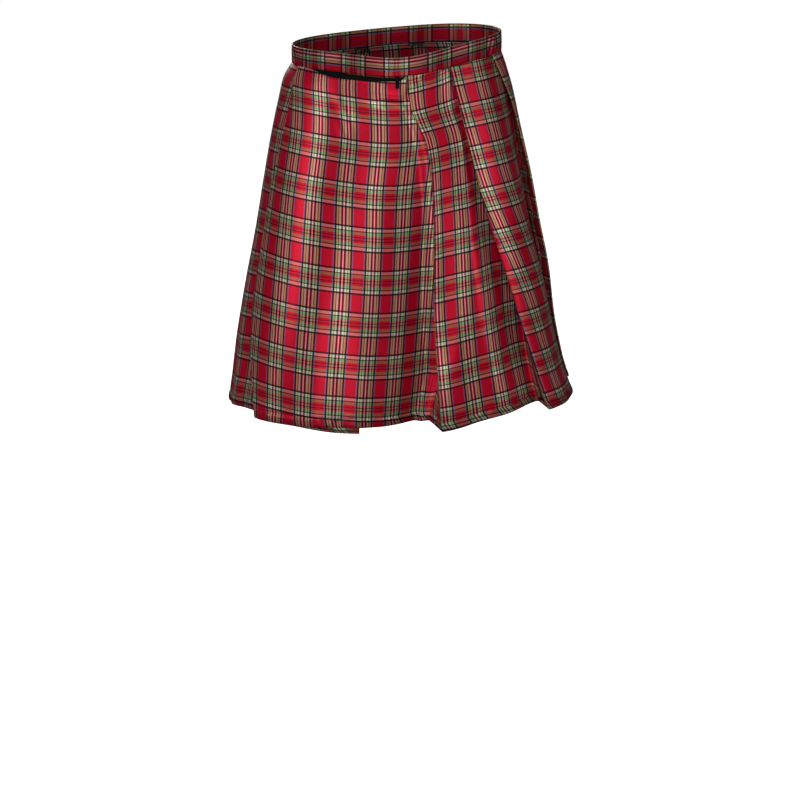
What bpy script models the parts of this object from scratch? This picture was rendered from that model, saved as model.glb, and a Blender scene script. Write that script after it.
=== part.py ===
"""Scottish kilt in its worn form, hollow, with nobody inside it.

Metres, +Z up, the front faces -Y and the viewer's right is +X. The origin is the
centre of the waist, at the middle of the waistband's height at the sides.

A level line round the skirt is an outline, an oval that the sections below set.
Places on it are an angle round the waist: 0 is the middle of the front, 90 the
viewer's right side, 180 the back and 270, or -90, the viewer's left. The cloth is
a path along that outline: it runs along a pleat's face, tucks under the next
pleat, comes back and folds forward again. Every panel is a slice of that path.
"""

import math

import bmesh
import bpy
import numpy as np

MM = 0.001

# ---- Driving sizes -------------------------------------------------------------

CLOTH = 1.0 * MM            # wall of one layer of cloth
SEAM_GAP = 0.3 * MM         # between two pieces that are sewn together
BAND_GAP = 0.45 * MM        # below the band, whose lower edge is curved
SKIRT_LENGTH = 540 * MM     # down the cloth, from the waist seam to the hem
HEM_TURN = 12 * MM          # cloth turned up inside the hem and stitched
HEM_STEP = 1.0 * MM         # height in which the wall thickens at that turning

BAND_HEIGHT = 28 * MM
BAND_TALLER = 2.5 * MM      # how much taller the band is at the right side
BAND_INNER = 1.2 * MM       # band's inner and outer face, out from the waist outline
BAND_OUTER = 4.2 * MM
WAIST_TILT = 9.5 * MM       # rise of the waist at the right side, and fall at the left
HEM_TILT = 3 * MM           # how much more than the waist the hem tilts that way
WAIST_DIP = 14.5 * MM       # dip of the waist in front
DIP_AT = 6                  # degrees: where it dips most
DIP_POWER = 4               # how closely the dip keeps to that place

FRONT_BAND_FROM = -67       # degrees: the smooth part of the band in front
FRONT_BAND_TO = 64
GATHERS = 46                # puckers of the elasticated part of the band
GATHER_DEPTH = 1.1 * MM
GATHER_SLANT = 0.9          # how far a pucker leans along the band, in puckers

EDGE_RADIUS = (0.9 * MM, 2.2 * MM)    # of a pleat's leading fold, at waist and hem
TUCK_RADIUS = (0.9 * MM, 4.0 * MM)    # of the fold inside a pleat, at waist and hem
RIDGE_SAG = 0.06            # how much lower cloth hangs for each metre it stands out
SAG_POWER = 1.6             # how a leading fold's sag grows down the skirt
SAG_REACH = 0.6             # how far across its face a leading fold's sag reaches

# ---- The skirt's outline, section by section -------------------------------------
# share: how far down the skirt. The next four are half widths and half depths of the
# outline in mm. The last two are its squareness in front and behind, 2 for an ellipse.
SECTION_COLUMNS = ("share", "left", "right", "front", "back", "square_front", "square_back")
SECTIONS = (
    (0.00, 158, 158, 114, 112, 2.05, 2.05),
    (0.05, 170, 165, 119, 124, 2.05, 2.05),
    (0.12, 177, 173, 126, 137, 2.10, 2.10),
    (0.22, 185, 181, 134, 149, 2.25, 2.15),
    (0.35, 193, 193, 143, 160, 2.40, 2.20),
    (0.50, 201, 204, 153, 169, 2.65, 2.25),
    (0.65, 212, 217, 162, 176, 2.90, 2.30),
    (0.80, 222, 226, 169, 182, 3.20, 2.35),
    (0.92, 230, 241, 174, 187, 3.40, 2.40),
    (1.00, 237, 256, 178, 190, 3.50, 2.40),
)

# ---- The pleats ------------------------------------------------------------------
# A pleat is known by its leading fold. angles says where that fold is at each of the
# levels, turns the angle through which the cloth turns in the tuck under it: 180 is
# pressed flat, 90 stands straight out. depths is the tuck's depth at waist and hem,
# recess how far in from the outline the tuck's inner fold lies at the hem, and sag
# how much lower the leading fold hangs there, all in mm.
LEVELS = (0.0, 0.1, 0.2, 0.36, 0.68, 1.0)
PRESSED = (180, 176, 172, 164, 140, 100)
PLEAT_COLUMNS = ("name", "angles", "turns", "depths", "recess", "sag")
PLEATS = (
    ("apron_edge", (-74, -71, -71, -73, -69, -58), (180, 176, 170, 158, 115, 60),
     (16, 16), 4, 3),
    ("pleat_1", (7, 11, 20, 22, 20, 22), (180, 177, 173, 168, 138, 68),
     (50, 50), 28, 7),
    ("pleat_2", (39, 41, 43, 45.5, 52, 57.5), PRESSED, (45, 28), 4, 4),
    ("pleat_3", (72, 77, 82, 85, 90, 97), PRESSED, (45, 14), 0, 3),
    ("pleat_4", (104, 109, 113, 117, 120, 123), PRESSED, (45, 25), 0, 3),
    ("pleat_5", (137, 143, 148, 151, 155, 158), PRESSED, (45, 25), 0, 3),
    ("pleat_6", (179, 183, 185, 188, 193, 197), PRESSED, (45, 25), 0, 3),
    ("pleat_7", (220, 221, 221, 222, 228, 233), PRESSED, (45, 25), 0, 3),
    ("pleat_8", (254, 254, 253, 253, 260, 267), PRESSED, (45, 24), 0, 3),
)

# ---- Soft folds down the faces ----------------------------------------------------
# face: the pleat whose face it is on. across: its place, as a share of the face's
# width, at its top and at the hem. width: its half width as a share of that face.
# depth: mm at the hem, less than 0 for a hollow. start: the share of the skirt's
# length at which it begins.
SOFT_FOLD_COLUMNS = ("face", "top", "hem", "width", "depth", "start")
SOFT_FOLDS = (
    ("apron_edge", 0.97, 1.00, 0.31, -18, 0.00),
    ("apron_edge", 0.40, 0.36, 0.24, 7, 0.20),
    ("apron_edge", 0.62, 0.60, 0.12, 4, 0.45),
    ("pleat_1", 0.66, 0.62, 0.34, 9, 0.25),
    ("pleat_2", 0.50, 0.50, 0.24, 6, 0.30),
    ("pleat_3", 0.50, 0.45, 0.24, 7, 0.25),
    ("pleat_4", 0.45, 0.50, 0.22, 6, 0.35),
    ("pleat_5", 0.55, 0.50, 0.24, 7, 0.30),
    ("pleat_6", 0.45, 0.48, 0.24, 6, 0.25),
    ("pleat_7", 0.50, 0.45, 0.22, 7, 0.35),
    ("pleat_8", 0.50, 0.50, 0.24, 6, 0.30),
)

# ---- The panels, each a slice of the path from one tuck to another -----------------
PANELS = (
    ("front_apron", ("apron_edge",)),
    ("right_pleats", ("pleat_1", "pleat_2")),
    ("back_right_pleats", ("pleat_3", "pleat_4")),
    ("back_left_pleats", ("pleat_5", "pleat_6")),
    ("left_pleats", ("pleat_7", "pleat_8")),
)

# ---- The open top edge of the apron, and what closes it -----------------------------
# The apron's top hangs below the band on a strip of hook-and-loop tape. share runs
# across the slit from its left end to its right end, drop is how far the slit opens.
SLIT_FROM = -65             # degrees, ends of the slit
SLIT_TO = 6.5
SLIT_COLUMNS = ("share", "drop")
SLIT = (
    (0.00, 0.0),
    (0.16, 5.0),
    (0.32, 9.0),
    (0.60, 7.6),
    (0.96, 7.4),
    (1.00, 0.0),
)
TAPE_WALL = 1.2 * MM
TAB_ANGLE = 0.6             # degrees: middle of the small tab at the tape's right end
TAB_WIDTH = 5.5 * MM
TAB_WALL = 1.0 * MM

# ---- The under apron ---------------------------------------------------------------
UNDER_FREE_EDGE = (-22, -18)    # degrees of its free upright edge, at waist and hem
UNDER_FAR_EDGE = (-84, -76)     # degrees of the edge that the side pleats cover
UNDER_SET_BACK = (-3.4 * MM, -13 * MM)    # in from the outline, at waist and hem
UNDER_EXTRA = 7 * MM        # how much lower it hangs than the apron
UNDER_RISE = 11 * MM        # how far it reaches up behind the band

# ---- Fineness of the walls -----------------------------------------------------------
ROWS = (0.0, 0.035, 0.09, 0.16, 0.25, 0.36, 0.47, 0.58, 0.69, 0.80, 0.90)
APRON_FACE_POINTS = 14
FACE_POINTS = 6
LEAST_STRETCH = 6 * MM      # of a face beside its folds, where a pleat has opened
OUTLINE_STEP = 1.0          # degrees between the points that measure an outline

NAMES = [row[0] for row in PLEATS]


def clear_scene():
    for item in list(bpy.data.objects):
        bpy.data.objects.remove(item, do_unlink=True)


def make_material(name, colour, roughness):
    material = bpy.data.materials.new(name)
    material.use_nodes = True
    shader = material.node_tree.nodes["Principled BSDF"]
    shader.inputs["Base Color"].default_value = (*colour, 1.0)
    shader.inputs["Roughness"].default_value = roughness
    shader.inputs["Metallic"].default_value = 0.0
    return material


# ---- Small measures ------------------------------------------------------------------

def smooth(value):
    """0 to 1 with level ends."""
    value = min(max(value, 0.0), 1.0)
    return value * value * (3 - 2 * value)


def mix(pair, share):
    return pair[0] + (pair[1] - pair[0]) * share


def through(places, values, place):
    """A smooth curve through values, with no overshoot at the ends."""
    places = list(places)
    last = len(places) - 1
    place = min(max(place, places[0]), places[last])
    index = max(i for i in range(last) if places[i] <= place)
    slopes = []
    for i in (index, index + 1):
        low, high = max(i - 1, 0), min(i + 1, last)
        slopes.append((values[high] - values[low]) / (places[high] - places[low]))
    width = places[index + 1] - places[index]
    t = (place - places[index]) / width
    return ((2 * t**3 - 3 * t**2 + 1) * values[index]
            + (t**3 - 2 * t**2 + t) * width * slopes[0]
            + (3 * t**2 - 2 * t**3) * values[index + 1]
            + (t**3 - t**2) * width * slopes[1])


def column(table, names, name):
    """One named column of a table."""
    index = names.index(name)
    return [row[index] for row in table]


def section(name, share):
    shares = column(SECTIONS, SECTION_COLUMNS, "share")
    return through(shares, column(SECTIONS, SECTION_COLUMNS, name), share)


def outline_point(share, degrees):
    """The point of the outline in one direction from the middle of the waist."""
    turn = math.radians(degrees)
    side = section("right" if math.sin(turn) > 0 else "left", share) * MM
    ahead = math.cos(turn) > 0
    fore = section("front" if ahead else "back", share) * MM
    square = section("square_front" if ahead else "square_back", share)
    reach = (abs(math.sin(turn) / side)**square
             + abs(math.cos(turn) / fore)**square)**(-1 / square)
    return np.array((reach * math.sin(turn), -reach * math.cos(turn)))


class Outline:
    """One level line round the skirt, measured along its length."""

    def __init__(self, share):
        self.share = share
        self.angles = np.arange(-180.0, 540.0 + OUTLINE_STEP, OUTLINE_STEP)
        self.points = np.array([outline_point(share, angle) for angle in self.angles])
        steps = np.linalg.norm(np.diff(self.points, axis=0), axis=1)
        along = np.concatenate(([0.0], np.cumsum(steps)))
        self.along = along - np.interp(0.0, self.angles, along)
        tangent = np.gradient(self.points, axis=0)
        tangent /= np.linalg.norm(tangent, axis=1)[:, None]
        self.outward = np.stack((tangent[:, 1], -tangent[:, 0]), axis=1)

    def place(self, degrees):
        """The length along the outline from the middle of the front to an angle."""
        return float(np.interp(degrees, self.angles, self.along))

    def angle(self, along):
        return float(np.interp(along, self.along, self.angles))

    def point(self, along, out):
        base = [np.interp(along, self.along, self.points[:, i]) for i in (0, 1)]
        way = [np.interp(along, self.along, self.outward[:, i]) for i in (0, 1)]
        length = math.hypot(*way)
        return base[0] + way[0] / length * out, base[1] + way[1] / length * out


def band_top(degrees):
    """Height of the band's top edge: the band stands a little taller at the right."""
    taller = BAND_TALLER * max(math.sin(math.radians(degrees)), 0.0)**2
    return seam_height(degrees) + BAND_HEIGHT + taller


def seam_height(degrees):
    """Height of the seam between band and skirt."""
    turn = math.radians(degrees)
    dip = WAIST_DIP * max(math.cos(turn - math.radians(DIP_AT)), 0.0)**DIP_POWER
    return -BAND_HEIGHT / 2 + WAIST_TILT * math.sin(turn) - dip


DROP_SHARES = np.linspace(0.0, 1.0, 41)
DROP_ANGLES = np.arange(-180.0, 541.0, 15.0)


def measure_drops():
    """How far below the seam the outline lies, so that the cloth keeps its length."""
    table = np.zeros((len(DROP_SHARES), len(DROP_ANGLES)))
    for index, angle in enumerate(DROP_ANGLES):
        spots = np.array([outline_point(share, angle) for share in DROP_SHARES])
        sideways = np.linalg.norm(np.diff(spots, axis=0), axis=1)
        length = SKIRT_LENGTH * np.diff(DROP_SHARES)
        table[1:, index] = np.cumsum(np.sqrt(length**2 - sideways**2))
    return table


DROPS = measure_drops()


def skirt_height(share, degrees, out, sag=0.0):
    """Height of the cloth at a share of the skirt's length."""
    row = [np.interp(degrees, DROP_ANGLES, DROPS[i]) for i in range(len(DROP_SHARES))]
    drop = float(np.interp(share, DROP_SHARES, row))
    tilt = HEM_TILT * share * math.sin(math.radians(degrees))
    hang = RIDGE_SAG * max(out, 0.0) * share + sag * share**SAG_POWER
    return seam_height(degrees) - drop + tilt - hang


# ---- The path of the cloth --------------------------------------------------------------

def soft_fold(face, across, share):
    """How far the soft folds push a face out, at a share of its width and length."""
    push = 0.0
    for row in SOFT_FOLDS:
        fold = dict(zip(SOFT_FOLD_COLUMNS, row))
        if fold["face"] != face or share <= fold["start"]:
            continue
        grown = smooth((share - fold["start"]) / (1 - fold["start"]))
        middle = fold["top"] + (fold["hem"] - fold["top"]) * share
        away = abs(across - middle) / fold["width"]
        if away < 1:
            push += fold["depth"] * MM * grown * (0.5 + 0.5 * math.cos(math.pi * away))
    return push


class Tuck:
    """The fold under one pleat's leading edge, at one level.

    The cloth comes along the outline, turns through an angle on a small radius,
    runs back for the tuck's depth and turns forward again into the face.
    """

    def __init__(self, row, outline, turns_round=0):
        pleat = dict(zip(PLEAT_COLUMNS, row))
        share = outline.share
        degrees = through(LEVELS, pleat["angles"], share) + 360 * turns_round
        self.edge = outline.place(degrees)
        self.depth = mix(pleat["depths"], share) * MM
        self.turn = math.radians(through(LEVELS, pleat["turns"], share))
        self.recess = pleat["recess"] * MM * share
        self.sag = pleat["sag"] * MM
        self.edge_radius = mix(EDGE_RADIUS, share)
        self.tuck_radius = mix(TUCK_RADIUS, share)
        closed = 1 - math.cos(self.turn)
        both = self.edge_radius + self.tuck_radius
        self.lift = both * closed + self.depth * math.sin(self.turn) - self.recess
        self.travel = self.depth * math.cos(self.turn) + both * math.sin(self.turn)
        self.start = self.edge - self.travel    # where the cloth leaves the outline

    def inner_fold(self):
        """Points on the inner fold: place, distance out, the wall's normal and sag."""
        points = []
        for part in (0.0, 0.5, 1.0):
            heading = self.turn * part
            points.append((self.start + self.tuck_radius * math.sin(heading),
                           self.tuck_radius * (1 - math.cos(heading)) - self.recess,
                           -math.sin(heading), math.cos(heading), 0.0))
        return points

    def back_run(self, part):
        place, out, along, away, _ = self.inner_fold()[-1]
        way = self.depth * part
        return (place + way * math.cos(self.turn), out + way * math.sin(self.turn),
                along, away, self.sag * part)

    def leading_fold(self):
        place, out, *_ = self.back_run(1.0)
        centre = (place + self.edge_radius * math.sin(self.turn),
                  out - self.edge_radius * math.cos(self.turn))
        points = []
        for part in (0.0, 0.5, 1.0):
            heading = self.turn * (1 - part)
            points.append((centre[0] - self.edge_radius * math.sin(heading),
                           centre[1] + self.edge_radius * math.cos(heading),
                           -math.sin(heading), math.cos(heading), self.sag))
        return points


def face_points(name, tuck, following, share, count):
    """A pleat's face, from its leading fold down to where the next one covers it.

    At the waist its first stretch lies over its own tuck and its last stretch lies
    under the next one, so the layers have their columns in the same places.
    """
    begin, end = tuck.edge, following.start
    covered = max(tuck.start, begin + LEAST_STRETCH)
    landed = min(following.edge - 2 * CLOTH, end - LEAST_STRETCH)
    places = [(begin + covered) / 2]
    places += list(np.linspace(covered, landed, count))
    places += [(landed + end) / 2]

    def out(place):
        fall = smooth((place - covered) / (landed - covered))
        width = (landed - begin)
        across = min(max((place - begin) / width, 0.0), 1.0)
        fade = smooth(across / 0.12) * smooth((1 - across) / 0.06)
        level = tuck.lift * (1 - fall) - following.recess * across**5
        return level + soft_fold(name, across, share) * fade

    points = []
    for place in places:
        slope = (out(place + CLOTH) - out(place - CLOTH)) / (2 * CLOTH)
        size = math.hypot(1.0, slope)
        sag = tuck.sag * (1 - smooth((place - begin) / (landed - begin) / SAG_REACH))
        points.append((place, out(place), -slope / size, 1 / size, sag))
    return points


def level_path(share):
    """The whole path at one level: for each pleat, the points of its slice."""
    outline = Outline(share)
    tucks = [Tuck(row, outline) for row in PLEATS]
    tucks.append(Tuck(PLEATS[0], outline, turns_round=1))
    half_gap = SEAM_GAP / 2
    slices = []
    for index, name in enumerate(NAMES):
        tuck, following = tucks[index], tucks[index + 1]
        count = APRON_FACE_POINTS if name == "apron_edge" else FACE_POINTS
        gap_share = half_gap / tuck.depth
        next_gap_share = half_gap / following.depth
        points = [tuck.back_run(0.5 + gap_share)]
        points += tuck.leading_fold()
        points += face_points(name, tuck, following, share, count)
        points += following.inner_fold()
        points += [following.back_run(0.5 - next_gap_share)]
        slices.append(points)
    return outline, slices


def slit_drop(degrees):
    """How far the apron's top edge hangs below the band."""
    share = (degrees - SLIT_FROM) / (SLIT_TO - SLIT_FROM)
    if not 0 < share < 1:
        return 0.0
    shares = column(SLIT, SLIT_COLUMNS, "share")
    return through(shares, column(SLIT, SLIT_COLUMNS, "drop"), share) * MM


# ---- Walls -------------------------------------------------------------------------------

def add_wall(name, outer, inner, material):
    """A closed wall between two grids of points, both rows of columns."""
    mesh = bmesh.new()
    sides = [[[mesh.verts.new(point) for point in row] for row in grid]
             for grid in (outer, inner)]
    rows, columns = len(outer), len(outer[0])
    for grid in sides:
        for i in range(rows - 1):
            for j in range(columns - 1):
                mesh.faces.new((grid[i][j], grid[i][j + 1],
                                grid[i + 1][j + 1], grid[i + 1][j]))
    for i in (0, rows - 1):
        for j in range(columns - 1):
            mesh.faces.new((sides[0][i][j], sides[0][i][j + 1],
                            sides[1][i][j + 1], sides[1][i][j]))
    for j in (0, columns - 1):
        for i in range(rows - 1):
            mesh.faces.new((sides[0][i][j], sides[0][i + 1][j],
                            sides[1][i + 1][j], sides[1][i][j]))
    bmesh.ops.recalc_face_normals(mesh, faces=mesh.faces)
    data = bpy.data.meshes.new(name)
    mesh.to_mesh(data)
    mesh.free()
    data.materials.append(material)
    data.shade_smooth()
    data.set_sharp_from_angle(angle=math.radians(50))
    item = bpy.data.objects.new(name, data)
    bpy.context.scene.collection.objects.link(item)
    return item


def skirt_levels():
    """Levels of the rows, with a close pair where the turned-up hem begins."""
    turn = 1 - HEM_TURN / SKIRT_LENGTH
    return [(share, False) for share in ROWS] + [
        (turn - HEM_STEP / SKIRT_LENGTH, False), (turn, True), (1.0, True)]


def make_panels(cloth):
    levels = [(level_path(share), share, thick) for share, thick in skirt_levels()]
    for panel, names in PANELS:
        outer, inner = [], []
        for (outline, slices), share, thick in levels:
            points = []
            for name in names:
                part = slices[NAMES.index(name)]
                points += part if name == names[-1] else part[:-1]
            outer_row, inner_row = [], []
            for place, out, along, away, sag in points:
                degrees = outline.angle(place)
                height = skirt_height(share, degrees, out, sag)
                if share == 0.0:
                    height -= BAND_GAP
                for row, side in ((outer_row, 0.5), (inner_row, -1.5 if thick else -0.5)):
                    spot = outline.point(place + along * side * CLOTH,
                                         out + away * side * CLOTH)
                    row.append((*spot, height))
            outer.append(outer_row)
            inner.append(inner_row)
        if panel == "front_apron":
            open_slit(outer)
            open_slit(inner)
        add_wall(panel, outer, inner, cloth)


def open_slit(grid):
    """Lowers the apron's top edge below the band, down its own surface."""
    outline, slices = level_path(0.0)
    for index, (place, *_) in enumerate(slices[0]):
        top, below = np.array(grid[0][index]), np.array(grid[1][index])
        way = below - top
        drop = slit_drop(outline.angle(place)) / np.linalg.norm(way)
        grid[0][index] = tuple(top + way * drop)


def apron_layer(level):
    """The apron's layer at one level, as places along the outline and distances out."""
    outline, slices = level_path(level)
    face = slices[0][2:-4]
    return outline, [point[0] for point in face], [point[1] for point in face]


def strip(name, degrees, inner_out, outer_out, bottom, top, material, rows=2):
    """A strip along the waist: its faces and edges are functions of the angle."""
    waist = Outline(0.0)
    grids = []
    for out in (outer_out, inner_out):
        grid = []
        for i in range(rows):
            part = i / (rows - 1)
            row = []
            for angle in degrees:
                spot = waist.point(waist.place(angle), out(angle, part))
                height = top(angle) + (bottom(angle) - top(angle)) * part
                row.append((*spot, height))
            grid.append(row)
        grids.append(grid)
    return add_wall(name, grids[0], grids[1], material)


def make_band(cloth):
    waist = Outline(0.0)
    front = np.linspace(FRONT_BAND_FROM, FRONT_BAND_TO, 41)
    strip("waistband_front", front, lambda angle, part: BAND_INNER,
          lambda angle, part: BAND_OUTER, seam_height, band_top, cloth, rows=3)

    begin = waist.place(FRONT_BAND_TO) + SEAM_GAP
    end = waist.place(FRONT_BAND_FROM + 360) - SEAM_GAP
    places = np.linspace(begin, end, GATHERS * 4 + 1)
    back = [waist.angle(place) for place in places]

    def pucker(angle, part):
        count = (waist.place(angle) - begin) / (end - begin) * GATHERS
        ends = smooth(count) * smooth(GATHERS - count)
        return math.sin(2 * math.pi * (count + GATHER_SLANT * part)) * GATHER_DEPTH * ends

    strip("waistband_back", back, lambda angle, part: BAND_INNER,
          lambda angle, part: BAND_OUTER - 0.4 * MM + pucker(angle, part),
          seam_height, band_top, cloth, rows=4)


def hanging_strip(name, level_places, clearance, wall, material):
    """A strip that hangs from the band, behind or before the apron's top edge.

    level_places gives its places along the outline at the waist and at its lower
    edge. It lies on the apron's layer, moved out by the clearance.
    """
    grids = []
    for extra in (wall, 0.0):
        grid = []
        for level, drop in ((0.0, BAND_GAP), (ROWS[1], 0.0)):
            outline, places, outs = apron_layer(level)
            row = []
            for place in level_places(level):
                out = float(np.interp(place, places, outs)) + clearance + extra
                height = skirt_height(level, outline.angle(place), 0.0) - drop
                row.append((*outline.point(place, out), height))
            grid.append(row)
        grids.append(grid)
    return add_wall(name, grids[0], grids[1], material)


def make_tape(black):
    """The tape behind the slit, on the apron's own columns, and the tab at its end."""
    outline, waist_places, _ = apron_layer(0.0)
    behind_slit = [index for index, place in enumerate(waist_places)
                   if SLIT_FROM < outline.angle(place) < SLIT_TO]

    def tape_places(level):
        _, places, _ = apron_layer(level)
        return [places[index] for index in behind_slit]

    hanging_strip("closure_tape", tape_places,
                  -CLOTH / 2 - SEAM_GAP - TAPE_WALL, TAPE_WALL, black)

    def tab_places(level):
        middle = Outline(level).place(TAB_ANGLE)
        return [middle + TAB_WIDTH * part for part in (-0.5, 0.0, 0.5)]

    hanging_strip("closure_tab", tab_places, CLOTH / 2 + 2 * SEAM_GAP, TAB_WALL, black)


def make_under_apron(cloth):
    """The inner end of the wrap: it hangs behind the apron, from inside the band."""
    outer, inner = [], []
    behind_band = BAND_INNER - SEAM_GAP - CLOTH / 2
    columns = 14
    rows = [(0.0, UNDER_RISE, behind_band), (0.0, UNDER_RISE / 2, behind_band)]
    rows += [(0.0, UNDER_RISE / 10, None)]
    rows += [(share, 0.0, None) for share in ROWS[1:] + (1.0,)]
    for share, rise, set_out in rows:
        outline = Outline(share)
        free = outline.place(mix(UNDER_FREE_EDGE, share))
        far = outline.place(mix(UNDER_FAR_EDGE, share))
        outer_row, inner_row = [], []
        for place in np.linspace(far, free, columns):
            degrees = outline.angle(place)
            out = mix(UNDER_SET_BACK, share) if set_out is None else set_out
            wave = 0.0
            if set_out is None:
                across = (place - far) / (free - far)
                wave = 5 * MM * share * math.sin(2 * math.pi * 1.5 * across)
            height = skirt_height(share, degrees, 0.0) + rise - UNDER_EXTRA * share
            for row, side in ((outer_row, 0.5), (inner_row, -0.5)):
                row.append((*outline.point(place, out + wave + side * CLOTH), height))
        outer.append(outer_row)
        inner.append(inner_row)
    add_wall("under_apron", outer, inner, cloth)


def main():
    clear_scene()
    cloth = make_material("tartan_cloth", (0.46, 0.03, 0.05), 0.62)
    black = make_material("hook_and_loop_tape", (0.012, 0.012, 0.014), 0.85)
    make_panels(cloth)
    make_band(cloth)
    make_tape(black)
    make_under_apron(cloth)


main()
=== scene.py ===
"""The looks of a scottish kilt in its worn form, hollow, laid over its fixed frame.

Metres, +Z up, the front faces -Y and the viewer's right is +X. The middle of the
waist is the origin. Angles run round the waist: 0 is the middle of the front, 90 the
viewer's right side, 180 the back and -90 or 270 the viewer's left.
"""

import math

import bmesh
import bpy
import numpy as np
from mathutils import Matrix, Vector, noise


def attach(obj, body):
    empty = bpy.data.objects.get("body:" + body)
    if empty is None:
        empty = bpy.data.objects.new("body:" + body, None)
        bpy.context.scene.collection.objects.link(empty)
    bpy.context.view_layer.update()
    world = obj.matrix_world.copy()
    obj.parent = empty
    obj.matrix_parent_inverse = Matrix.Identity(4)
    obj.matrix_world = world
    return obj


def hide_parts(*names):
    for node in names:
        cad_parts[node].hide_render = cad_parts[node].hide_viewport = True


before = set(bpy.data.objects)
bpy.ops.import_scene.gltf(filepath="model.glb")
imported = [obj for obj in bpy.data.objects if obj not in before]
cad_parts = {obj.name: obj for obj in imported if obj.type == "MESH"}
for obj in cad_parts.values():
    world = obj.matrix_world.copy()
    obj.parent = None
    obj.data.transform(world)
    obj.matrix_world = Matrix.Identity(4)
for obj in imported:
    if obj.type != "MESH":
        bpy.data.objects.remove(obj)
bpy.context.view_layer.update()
MM = 0.001


# ================================================================================
# The wrap. One long piece of light tartan, cut straight, goes once and a half round
# the body: flat over the front, laid in pleats everywhere else. A maker presses each
# pleat at the waist and lets it open towards the hem.
# ================================================================================

SKIRT_LENGTH = 540 * MM     # down the cloth, from the waist seam to the hem
BAND_HEIGHT = 28 * MM
WAIST_TILT = 9.5 * MM       # rise of the waist at the right side, and fall at the left
WAIST_DIP = 14.5 * MM       # dip of the waist in front
DIP_AT = math.radians(6)    # where it dips most
DIP_POWER = 4               # how closely the dip keeps to that place
HEM_TILT = 3 * MM           # how much more than the waist the hem tilts
RIDGE_SAG = 0.06            # how much lower cloth hangs for each metre it stands out
SAG_POWER = 1.6             # how a leading fold's sag grows down the skirt
SAG_REACH = 0.6             # how far across its face that sag reaches
LAYER = 1.0 * MM            # room that one layer of cloth takes up

# Half widths and half depths of the skirt's outline in mm, and its squareness in front
# and behind, at shares of the skirt's length.
SECTION_COLUMNS = ("share", "left", "right", "front", "back", "square_front", "square_back")
SECTIONS = (
    (0.00, 158, 158, 114, 112, 2.05, 2.05),
    (0.05, 170, 165, 119, 124, 2.05, 2.05),
    (0.12, 177, 173, 126, 137, 2.10, 2.10),
    (0.22, 185, 181, 134, 149, 2.25, 2.15),
    (0.35, 193, 193, 143, 160, 2.40, 2.20),
    (0.50, 201, 204, 153, 169, 2.65, 2.25),
    (0.65, 212, 217, 162, 176, 2.90, 2.30),
    (0.80, 222, 226, 169, 182, 3.20, 2.35),
    (0.92, 230, 241, 174, 187, 3.40, 2.40),
    (1.00, 237, 256, 178, 190, 3.50, 2.40),
)


def smooth(value):
    """0 to 1 with level ends."""
    value = np.clip(value, 0.0, 1.0)
    return value * value * (3 - 2 * value)


def through(places, values, place):
    """A smooth curve through values, with no overshoot at the ends."""
    places, values = np.asarray(places, float), np.asarray(values, float)
    numbers = np.arange(len(places))
    low, high = np.maximum(numbers - 1, 0), np.minimum(numbers + 1, numbers[-1])
    slopes = (values[high] - values[low]) / (places[high] - places[low])
    place = np.clip(place, places[0], places[-1])
    i = np.clip(np.searchsorted(places, place, side="right") - 1, 0, numbers[-1] - 1)
    width = places[i + 1] - places[i]
    t = (place - places[i]) / width
    return ((2 * t**3 - 3 * t**2 + 1) * values[i] + (t**3 - 2 * t**2 + t) * width * slopes[i]
            + (3 * t**2 - 2 * t**3) * values[i + 1] + (t**3 - t**2) * width * slopes[i + 1])


def column(table, names, name):
    """One named column of a table."""
    index = names.index(name)
    return [row[index] for row in table]


class Ring:
    """One level line round the skirt, an oval measured along its own length."""

    angles = np.arange(-180.0, 541.0, 1.0)

    def __init__(self, share):
        self.share = share
        shares = column(SECTIONS, SECTION_COLUMNS, "share")
        size = {name: through(shares, column(SECTIONS, SECTION_COLUMNS, name), share)
                for name in SECTION_COLUMNS[1:]}
        sine, cosine = np.sin(np.radians(self.angles)), np.cos(np.radians(self.angles))
        side = np.where(sine > 0, size["right"], size["left"]) * MM
        fore = np.where(cosine > 0, size["front"], size["back"]) * MM
        square = np.where(cosine > 0, size["square_front"], size["square_back"])
        reach = (abs(sine / side)**square + abs(cosine / fore)**square)**(-1 / square)
        self.spots = np.stack((reach * sine, -reach * cosine), axis=1)
        steps = np.linalg.norm(np.diff(self.spots, axis=0), axis=1)
        along = np.concatenate(([0.0], np.cumsum(steps)))
        self.along = along - np.interp(0.0, self.angles, along)
        tangent = np.gradient(self.spots, axis=0)
        tangent /= np.linalg.norm(tangent, axis=1)[:, None]
        self.outward = np.stack((tangent[:, 1], -tangent[:, 0]), axis=1)

    def place(self, degrees):
        return np.interp(degrees, self.angles, self.along)

    def angle(self, place):
        return np.interp(place, self.along, self.angles)

    def point(self, place, out):
        """X and Y at places along the line, moved out from it."""
        base = [np.interp(place, self.along, self.spots[:, i]) for i in (0, 1)]
        way = [np.interp(place, self.along, self.outward[:, i]) for i in (0, 1)]
        length = np.hypot(*way)
        return np.stack((base[0] + way[0] / length * out, base[1] + way[1] / length * out),
                        axis=-1)


def seam_height(degrees):
    """Height of the seam between the waistband and the skirt."""
    turn = np.radians(degrees)
    dip = WAIST_DIP * np.maximum(np.cos(turn - DIP_AT), 0.0)**DIP_POWER
    return -BAND_HEIGHT / 2 + WAIST_TILT * np.sin(turn) - dip


DROP_SHARES = np.linspace(0.0, 1.0, 41)
DROP_ANGLES = np.arange(-180.0, 541.0, 15.0)


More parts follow.
